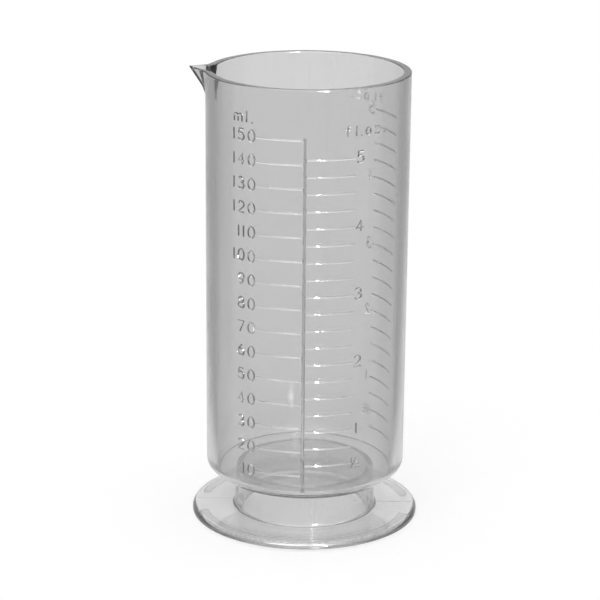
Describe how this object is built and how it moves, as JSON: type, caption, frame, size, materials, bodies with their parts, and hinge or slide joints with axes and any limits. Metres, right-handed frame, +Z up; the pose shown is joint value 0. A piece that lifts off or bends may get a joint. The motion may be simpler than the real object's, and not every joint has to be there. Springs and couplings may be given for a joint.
{
  "type": "measuring graduate",
  "caption": "Clear moulded measuring cylinder on a hollow round foot, with a pouring lip and raised volume scales on its wall.",
  "frame": {"origin": "centre of the foot on the cup's axis, in the plane that the foot's pads stand on", "axes": "+Z up along the cup's axis; the pouring lip points to -X; the upright line between the two front scales faces -Y"},
  "size_m": [0.0583, 0.0576, 0.1158],
  "materials": {
    "cup": "clear polystyrene, moulded, polished, lightly scuffed by use",
    "foot": "clear polystyrene, moulded, polished, lightly scuffed by use"
  },
  "bodies": {
    "root": {"graduated_cup": "cup", "foot": "foot"}
  },
  "joints": []
}
